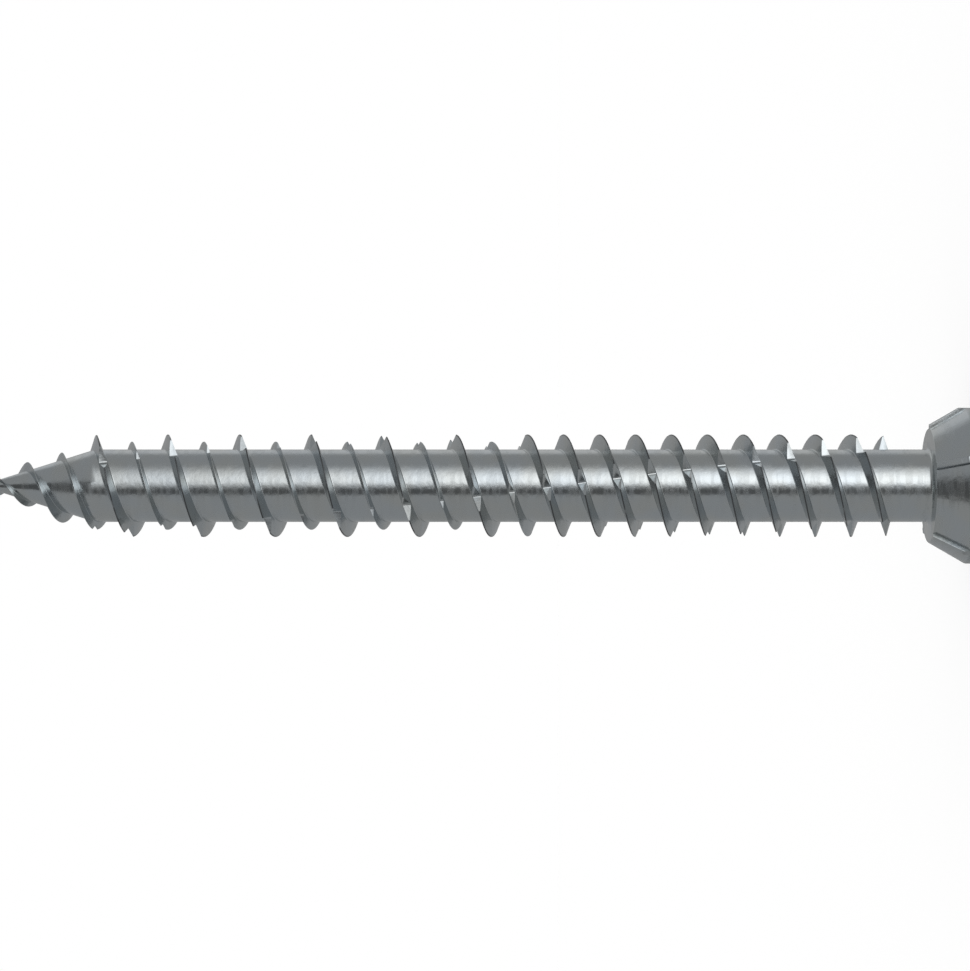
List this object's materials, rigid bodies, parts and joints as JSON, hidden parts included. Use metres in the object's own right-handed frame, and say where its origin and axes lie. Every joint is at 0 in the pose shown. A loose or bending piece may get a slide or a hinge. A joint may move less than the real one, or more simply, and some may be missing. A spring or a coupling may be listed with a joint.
{
  "type": "frame screw",
  "caption": "Long countersunk frame screw with a notched two-start thread, a plain point and cutting ribs under the head.",
  "frame": {"origin": "centre of the head's flat face, in that face's plane", "axes": "+Z along the screw's axis from the head to the point, so the screw stands on its head"},
  "size_m": [0.0114, 0.0114, 0.073],
  "materials": {
    "zinc_plated_steel": "satin zinc plating"
  },
  "bodies": {
    "root": {"frame_screw": "zinc_plated_steel"}
  },
  "joints": []
}
